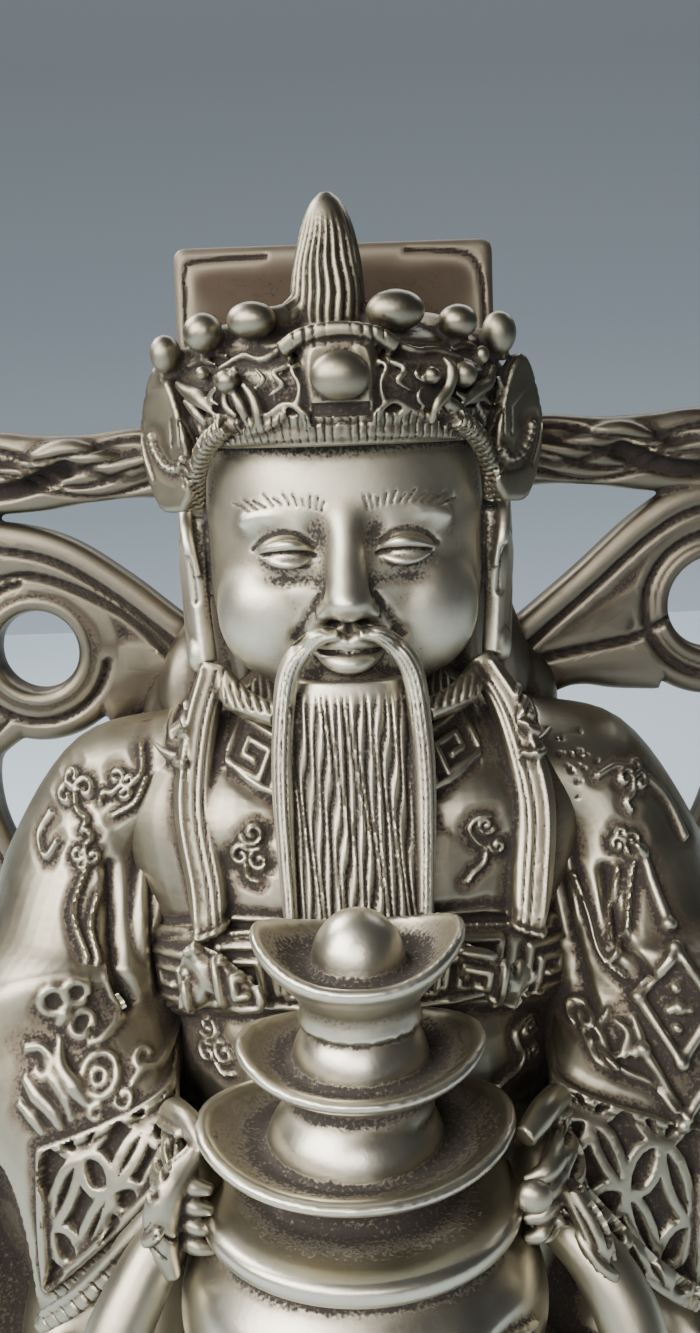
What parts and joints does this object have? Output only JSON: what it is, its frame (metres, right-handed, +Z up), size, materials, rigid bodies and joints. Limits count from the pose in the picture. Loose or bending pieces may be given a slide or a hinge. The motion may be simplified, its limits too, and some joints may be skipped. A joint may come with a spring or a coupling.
{
  "type": "wealth god statue",
  "caption": "Cast white copper seated wealth god in court hat and flying scarf, holding ingots on a treasure bowl.",
  "frame": {"origin": "middle of the underside of the base, at the centre of the statue's box", "axes": "+Z up, the deity faces -Y, +X to the viewer's right"},
  "size_m": [0.1718, 0.12, 0.2189],
  "materials": {
    "white_copper": "cast white copper, rubbed bright on the high places, brown-black patina in the hollows"
  },
  "bodies": {
    "root": {"figure": "white_copper"}
  },
  "joints": []
}
